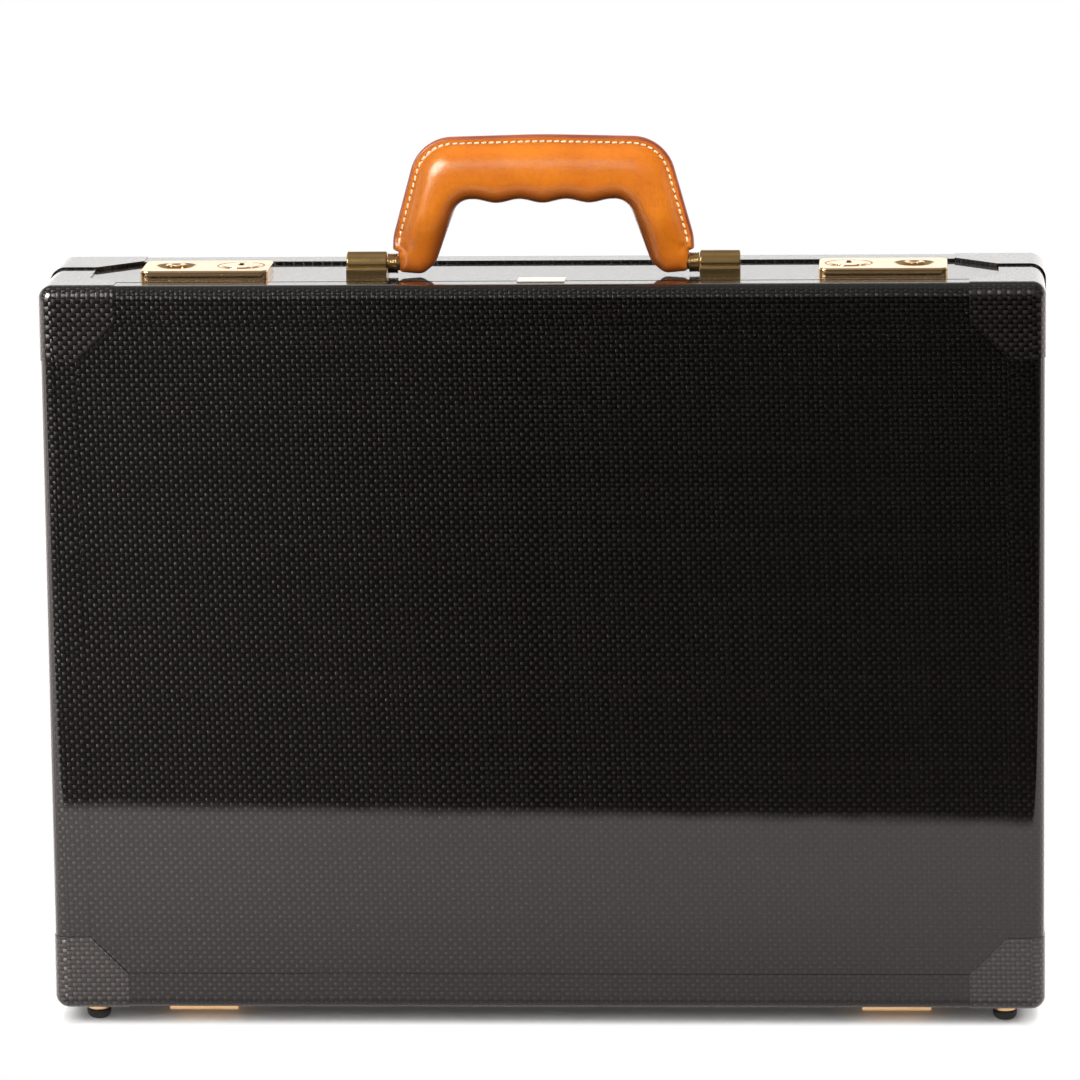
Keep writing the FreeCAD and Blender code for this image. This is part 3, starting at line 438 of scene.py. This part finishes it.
def stitches(name, spans, radius, finish, body):
    """Each span (start, end, outward) becomes one bowed stitch that dips into the work at its ends."""
    rings = 7
    around = 8
    vertices = []
    faces = []
    for start, end, outward in spans:
        start, end, outward = (np.asarray(v, float) for v in (start, end, outward))
        run = end - start
        sideways = np.cross(run, outward)
        sideways /= np.linalg.norm(sideways)
        first = len(vertices)
        for ring in range(rings):
            share = ring / (rings - 1)
            swell = math.sqrt(max(0.0, 1 - (2 * share - 1) ** 4))
            width = radius * max(0.12, swell)
            middle = start + run * share + outward * radius * (0.9 * swell - 0.75)
            for k in range(around):
                turn = 2 * math.pi * k / around
                vertices.append(middle + width * (math.cos(turn) * sideways + math.sin(turn) * outward))
        for ring in range(rings - 1):
            for k in range(around):
                a = first + ring * around + k
                b = first + ring * around + (k + 1) % around
                faces.append((a, b, b + around, a + around))
        last = first + (rings - 1) * around
        faces.append(tuple(first + k for k in reversed(range(around))))
        faces.append(tuple(last + k for k in range(around)))
    piece = mesh_piece(name, vertices, faces, finish)
    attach(piece, body)
    return piece


# ---- the grip -----------------------------------------------------------------------------------
GRIP_LOW, GRIP_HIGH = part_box("handle_leather")
GRIP_Y = (GRIP_LOW.y + GRIP_HIGH.y) / 2 / MM
GRIP_FLOOR = GRIP_LOW.z / MM - 0.5      # heights below are above the case's top
GRIP_HALF = (GRIP_HIGH.y - GRIP_LOW.y) / 2 / MM - 0.1
PIVOT = 5.2
FOOT_HALF = 4.7             # half thickness of the leg's end
WELT = 2.1                  # half thickness of the sewn edge
WELT_WIDTH = 3.3
WELT_FADE = (7.0, 17.0)     # heights over which the leg's round end turns into the sewn edge
DYE_FADE = (10.0, 12.0)     # heights over which the sewn edge's dye begins
FINGER_PITCH = 19.6
FINGER_HEIGHT = 31.3
FINGER_DEPTH = 0.8
STITCH_LINE = 2.75          # how far the stitches lie inside the outline
STITCH_FOOT = 13.5          # height of the lowest stitch
STITCH_PITCH = 3.05
STITCH_START = 0.25         # a stitch's ends, from the start of its pitch
STITCH_END = 2.85
STITCH_SLANT = 0.07
STITCH_RADIUS = 0.46


def rounded_path(corners, step=0.4):
    """Points along straight runs whose corners (x, z, radius) are rounded."""
    points = [np.array(corners[0][:2], float)]
    for before, here, after in zip(corners, corners[1:], corners[2:]):
        corner = np.array(here[:2], float)
        back = np.array(before[:2], float) - corner
        ahead = np.array(after[:2], float) - corner
        back /= np.linalg.norm(back)
        ahead /= np.linalg.norm(ahead)
        half = math.acos(float(np.clip(back @ ahead, -1, 1))) / 2
        reach = here[2] / math.tan(half)
        bisector = (back + ahead) / np.linalg.norm(back + ahead)
        centre = corner + bisector * here[2] / math.sin(half)
        start = corner + back * reach - centre
        turn = math.pi - 2 * half
        if start[0] * ahead[1] - start[1] * ahead[0] < 0:
            turn = -turn
        count = max(3, int(abs(turn) * here[2] / step))
        for k in range(count + 1):
            c, s = math.cos(turn * k / count), math.sin(turn * k / count)
            points.append(centre + np.array((c * start[0] - s * start[1], s * start[0] + c * start[1])))
    points.append(np.array(corners[-1][:2], float))
    return np.array(points)


def lengths_along(points):
    """How far along the polyline each of its points lies."""
    return np.concatenate(([0], np.cumsum(np.linalg.norm(np.diff(points, axis=0), axis=1))))


def points_at(wanted, lengths, points):
    """The points of a polyline at the wanted lengths."""
    return np.stack([np.interp(wanted, lengths, points[:, i]) for i in (0, 1)], axis=1)


def resample(points, count):
    """Points evenly spaced along a polyline."""
    lengths = lengths_along(points)
    return points_at(np.linspace(0, lengths[-1], count), lengths, points)


def with_mirror(half):
    """A path from the right foot to the middle, carried on to the left foot."""
    return np.concatenate((half, (half[:-1] * (-1, 1))[::-1]))


def grip_outlines():
    """Right half of the grip: the leg's inside, the finger ridges and the outside, each from the
    leg's foot towards the middle."""
    foot = (56.4, 0.967, 0)
    finger_x = np.linspace(1.5 * FINGER_PITCH, 0, 90)
    finger_z = FINGER_HEIGHT - FINGER_DEPTH * np.cos(2 * np.pi * finger_x / FINGER_PITCH)
    fingers = np.stack((finger_x, finger_z), axis=1)
    leg = [foot, (51.0, 0.5, 5.5), (45.6, 5.0, 9.0), (35.6, finger_z[0], 7.5),
           (finger_x[0], finger_z[0], 0)]
    leg_inside = rounded_path(leg)
    crown = (0.0, 59.6, 300.0)
    leg_outside = rounded_path([foot, (61.4, 1.4, 2.6), (61.4, 10.4, 0.4), (63.6, 10.9, 0.8),
                                (63.4, 16.5, 22.0), (51.8, 58.3, 18.5), crown, (-51.8, 58.3, 0)])
    leg_outside = leg_outside[leg_outside[:, 0] > 0.1]
    peak = (0.0, leg_outside[-1, 1])
    return leg_inside, fingers, np.concatenate((leg_outside, [peak]))


LEG_INSIDE, FINGERS, OUTSIDE = grip_outlines()


def distance_to(path, points):
    """Shortest distance of each point to the path and its mirror image."""
    best = np.full(len(points), 1e9)
    for side in (1, -1):
        a = path[:-1] * (side, 1)
        d = path[1:] * (side, 1) - a
        for start, run in zip(a, d):
            share = np.clip(((points - start) @ run) / max(run @ run, 1e-12), 0, 1)
            gap = np.linalg.norm(points - start - share[:, None] * run, axis=1)
            best = np.minimum(best, gap)
    return best


def ease(value, low, high):
    """A smooth step of value from low to high."""
    share = np.clip((value - low) / (high - low), 0, 1)
    return share * share * (3 - 2 * share)


def quarter(distance, radius):
    """Height of a quarter ellipse that rises from 0 to 1 over radius."""
    share = np.clip(distance / radius, 0, 1)
    return np.sqrt(np.maximum(0, 1 - (1 - share) ** 2))


def grip_profile(points):
    """(half thickness, distance to the sewn edge, distance to the finger side) at (x, z)."""
    height = points[:, 1] - PIVOT
    full = FOOT_HALF + (GRIP_HALF - FOOT_HALF) * ease(height, -3.0, 22.0)
    inside = np.minimum(distance_to(LEG_INSIDE, points), distance_to(FINGERS, points))
    outside = distance_to(OUTSIDE, points)
    body = np.maximum(outside - WELT_WIDTH, 0)
    share = 2 * inside / np.maximum(inside + body, 1e-6) - 1
    crown = 1 - np.abs(share) ** 2.6
    padded = np.where(share < 0, full * np.sqrt(crown), WELT + (full - WELT) * crown)
    sewn = np.where(outside < WELT_WIDTH, np.minimum(WELT * quarter(outside, 0.9), padded), padded)
    sewn -= 0.25 * np.exp(-((outside - STITCH_LINE) / 0.5) ** 2) * quarter(inside, 4.0)
    plain = full * quarter(np.minimum(inside, outside), full)
    welted = ease(points[:, 1], *WELT_FADE)
    half = np.maximum((1 - welted) * plain + welted * sewn, 0)
    sewn_edge = outside + 20 * (1 - ease(points[:, 1], *DYE_FADE))
    return half, sewn_edge, inside


def grip_mesh():
    """A closed padded shape: two faces that meet along the inner and outer outlines."""
    along_leg, along_crown, steps = 120, 110, 36
    shoulder = int(np.argmax(OUTSIDE[:, 0] + OUTSIDE[:, 1]))
    inner = np.concatenate((resample(LEG_INSIDE, along_leg), resample(FINGERS, along_crown)[1:]))
    outer = np.concatenate((resample(OUTSIDE[:shoulder + 1], along_leg),
                            resample(OUTSIDE[shoulder:], along_crown)[1:]))
    inner = with_mirror(inner)
    outer = with_mirror(outer)
    share = (1 - np.cos(np.pi * np.arange(steps + 1) / steps))[:, None] / 2
    flat = (inner[:, None, :] * (1 - share) + outer[:, None, :] * share).reshape(-1, 2)
    half, sewn_edge, inside = grip_profile(flat)
    rows = len(inner)
    width = steps + 1
    rim = np.zeros((rows, width), bool)
    rim[:, 0] = rim[:, -1] = rim[0, :] = rim[-1, :] = True
    rim = rim.ravel()
    half[rim] = 0.0
    xyz = np.stack((flat[:, 0], GRIP_Y - half, GRIP_FLOOR + flat[:, 1]), axis=1)
    back = xyz * (1, 0, 1) + np.outer(GRIP_Y + half, (0, 1, 0))
    vertices = np.concatenate((xyz, back))
    other = np.where(rim, np.arange(len(flat)), np.arange(len(flat)) + len(flat))
    faces = []
    for r in range(rows - 1):
        for c in range(steps):
            a = r * width + c
            ring = (a, a + 1, a + width + 1, a + width)
            faces.append(ring)
            faces.append(tuple(int(other[i]) for i in reversed(ring)))
    piece = mesh_piece("grip", vertices, faces, SADDLE)
    for label, values in (("from_edge", sewn_edge), ("from_fingers", inside)):
        attribute = piece.data.attributes.new(label, "FLOAT", "POINT")
        attribute.data.foreach_set("value", np.concatenate((values, values)).astype(np.float32))
    tidy_mesh(piece)
    return piece


def tidy_mesh(piece):
    """Drops loose points and welds the poles, then turns every face outward."""
    work = bmesh.new()
    work.from_mesh(piece.data)
    bmesh.ops.delete(work, geom=[v for v in work.verts if not v.link_faces], context="VERTS")
    bmesh.ops.remove_doubles(work, verts=work.verts, dist=0.02 * MM)
    bmesh.ops.dissolve_degenerate(work, dist=0.005 * MM, edges=work.edges)
    bmesh.ops.recalc_face_normals(work, faces=work.faces)
    work.to_mesh(piece.data)
    work.free()


def make_grip():
    grip = grip_mesh()
    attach(grip, "handle")
    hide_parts("handle_leather")


def stitch_line():
    """The stitches' path, a little inside the grip's outline."""
    path = resample(with_mirror(OUTSIDE), 2400)
    run = np.gradient(path, axis=0)
    run /= np.linalg.norm(run, axis=1)[:, None]
    inward = np.stack((-run[:, 1], run[:, 0]), axis=1)
    line = path + inward * STITCH_LINE
    return line[path[:, 1] > STITCH_FOOT]


def sew_grip():
    """A row of slightly slanting stitches on the front and one on the back."""
    line = stitch_line()
    lengths = lengths_along(line)
    count = round(lengths[-1] / STITCH_PITCH)
    pitch = lengths[-1] / count
    for side, label in ((-1, "front"), (1, "back")):
        spans = []
        for k in range(count):
            flat = points_at([pitch * k + STITCH_START, pitch * k + STITCH_END], lengths, line)
            slant = np.array((flat[1, 1] - flat[0, 1], flat[0, 0] - flat[1, 0])) * STITCH_SLANT * side
            flat = flat + np.array((-slant, slant))
            half = grip_profile(flat)[0]
            start, end = np.stack((flat[:, 0], GRIP_Y + side * half, GRIP_FLOOR + flat[:, 1]), axis=1)
            spans.append((start, end, (0, side, 0)))
        stitches("grip_stitches_" + label, spans, STITCH_RADIUS, STITCH, "handle")


# ---- sewing inside ------------------------------------------------------------------------------
def sewn_line(corners, pitch, length, outward):
    """Stitch spans along straight runs between corners, all facing outward."""
    spans = []
    for start, end in zip(corners, corners[1:]):
        start, end = np.asarray(start, float), np.asarray(end, float)
        total = np.linalg.norm(end - start)
        count = int(total / pitch)
        for k in range(count):
            a = (k + 0.5) / count - length / total / 2
            b = a + length / total
            spans.append((start + (end - start) * a, start + (end - start) * b, outward))
    return spans


def sew_interior():
    """Stitches all round the document pocket."""
    low, high = (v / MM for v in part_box("document_pocket"))
    inset = 2.2
    left, right = low.x + inset, high.x - inset
    corners = [(left, low.y, high.z - inset), (left, low.y, low.z + inset),
               (right, low.y, low.z + inset), (right, low.y, high.z - inset)]
    hem = [corners[0], corners[-1]]
    spans = []
    for run in (corners, hem):
        spans += sewn_line(run, 3.6, 2.6, (0, -1, 0))
    stitches("pocket_stitches", spans, 0.4, LINING_STITCH, "lid")


# ---- stage --------------------------------------------------------------------------------------
def around_case(g):
    """How far a point of the floor lies outside the case's footprint, with its x and y."""
    x, y, _ = g.parts_of(g.place())
    beside = g.math("SUBTRACT", g.math("ABSOLUTE", x), HALF_WIDTH)
    before = g.math("SUBTRACT", g.math("ABSOLUTE", y), BACK)
    return g.math("MAXIMUM", beside, before), x, y


def sheet(name, x, y, z, finish):
    """A level rectangle of the stage that casts no shadow."""
    vertices = [(x[0], y[0], z), (x[1], y[0], z), (x[1], y[1], z), (x[0], y[1], z)]
    floor = mesh_piece(name, vertices, [(0, 1, 2, 3)], finish, smooth=False)
    floor.visible_shadow = False
    return floor


def table_top():
    """The pale table as the case's own reflections see it, out to its slanting front edge."""
    made, g = material("floor_pale")
    away, x, y = around_case(g)
    reach = g.ease(g.math("MULTIPLY_ADD", x, -0.075, y), -0.468, -0.434)
    # painted light: the sheet glows, dimly under and beside the case so that it reads as shade there,
    # brighter further out, and half as bright again off the case's left end, standing in for the key
    # light falling on the table
    painted_floor_light = g.add(g.ease(away, -0.03, 0.05, 0.05, 0.50), g.ease(away, 0.05, 1.5, 0.0, 0.6))
    painted_floor_light = g.times(painted_floor_light, g.ease(x, -0.28, -0.05, 1.5, 1.0))
    surface(g, Base_Color=(0.47, 0.44, 0.43, 1), Roughness=0.9, Specular_IOR_Level=0.1,
            Emission_Color=(1.0, 0.90, 0.88, 1), Emission_Strength=painted_floor_light, Alpha=reach)
    sheet("floor", (-6000, 6000), (-600, 9000), -0.2, made).visible_camera = False


def near_table_top():
    """The table as the camera sees it: only round the front of the case, for its shadow, part real and
    part painted, so that an opened lid, which swings below the feet behind the case, stays in sight."""
    made, g = material("floor_pale_near")
    away, _, y = around_case(g)
    # painted light and shadow: the sheet glows white just outside the case's footprint and hardly at
    # all beneath it, so the dark under the case is partly painted shadow
    painted_floor_light = g.ease(away, -0.012, 0.010, 0.03, 0.85)
    in_front = g.ease(y, SEAM - 12 * MM, SEAM - 4 * MM, 1.0, 0.0)
    shown = g.times(g.ease(away, 0.03, 0.07, 1.0, 0.0), in_front)
    surface(g, Base_Color=(0.80, 0.79, 0.78, 1), Roughness=0.9, Specular_IOR_Level=0.1,
            Emission_Color=(1, 1, 1, 1), Emission_Strength=painted_floor_light, Alpha=shown)
    near = sheet("floor_near", (-300, 300), (-130, 130), 0.0, made)
    near.visible_glossy = False
    near.visible_diffuse = False


def studio_world():
    """Dark room in front with a faint haze at its left, dim side walls, a bright low backdrop
    behind and a dim ceiling; white to the camera."""
    world = bpy.data.worlds.new("studio")
    SCENE.world = world
    world.use_nodes = True
    g = Graph(world.node_tree)
    x, y, z = g.parts_of(g.node("ShaderNodeTexCoord").outputs["Generated"])
    behind = g.ease(y, 0.0, 0.45)
    low = g.ease(z, 0.28, 0.50, 1.0, 0.0)
    sides = g.add(g.ease(x, -0.98, -0.75, 0.3, 0.0), g.ease(x, 0.75, 0.98, 0.0, 0.08))
    ahead = g.times(g.ease(y, -0.4, 0.0, 0.29, 0.0), g.ease(z, -0.02, 0.10))
    haze = g.times(g.ease(y, -0.4, 0.0, 1.0, 0.0), g.ease(x, -0.15, -0.04, 0.16, 0.0))
    upper = g.times(g.ease(y, -0.3, 0.2, 0.0, 0.30), g.ease(z, 0.2, 0.4))
    ceiling = g.ease(z, 0.8, 1.0, 0.010, 0.45)
    light = g.times(g.times(behind, low), 1.32)
    for part in (g.times(sides, low), ahead, haze, upper, ceiling):
        light = g.math("MAXIMUM", light, part)
    room = g.node("ShaderNodeBackground", {0: (1.0, 0.985, 0.965, 1), 1: light})
    white = g.node("ShaderNodeBackground", {0: (1, 1, 1, 1), 1: 1.0})
    seen = g.node("ShaderNodeLightPath").outputs["Is Camera Ray"]
    mixed = g.node("ShaderNodeMixShader", {0: seen, 1: room.outputs[0], 2: white.outputs[0]})
    out = g.node("ShaderNodeOutputWorld")
    g.tree.links.new(mixed.outputs[0], out.inputs[0])


def softbox(name, place, aim, size, watts):
    light = bpy.data.lights.new(name, "AREA")
    light.shape = "RECTANGLE"
    light.size, light.size_y = size
    light.energy = watts
    lamp = bpy.data.objects.new(name, light)
    lamp.location = place
    lamp.rotation_euler = (Vector(aim) - Vector(place)).to_track_quat("-Z", "Y").to_euler()
    lamp.visible_camera = False
    SCENE.collection.objects.link(lamp)
    return lamp


def lights():
    """The key makes the highlights; the other three are soft light that nothing reflects."""
    key = softbox("key", (-1.03, -1.02, 1.12), (0, 0, 0.25), (0.9, 0.85), 60)
    key.visible_diffuse = False
    for name, place, size, watts in (("front", (-0.35, -1.9, 1.25), (1.6, 1.2), 54),
                                     ("overhead", (0.3, 0.9, 2.2), (1.6, 1.0), 55),
                                     ("fill", (1.6, -1.3, 1.5), (0.7, 0.7), 24)):
        softbox(name, place, (0, 0, 0.2), size, watts).visible_glossy = False


def camera():
    """Long lens, a little to the right of the case and above it, looking slightly down."""
    data = bpy.data.cameras.new("camera")
    data.lens = 224.7
    data.sensor_width = 36.0
    data.clip_end = 40.0
    eye = bpy.data.objects.new("camera", data)
    eye.location = (0.155757, -2.821502, 0.728520)
    yaw, pitch, roll = 0.0564, -0.1839, 0.0123
    turn = Matrix.Identity(3)
    for angles in ((0, 0, yaw), (pitch, 0, 0), (0, roll, 0), (math.pi / 2, 0, 0)):
        turn = turn @ Euler(angles).to_matrix()
    eye.rotation_euler = turn.to_euler()
    SCENE.collection.objects.link(eye)
    SCENE.camera = eye


dress_cad_nodes()
make_grip()
sew_grip()
sew_interior()
table_top()
near_table_top()
studio_world()
lights()
camera()
SCENE.view_settings.view_transform = "Standard"
SCENE.view_settings.look = "None"
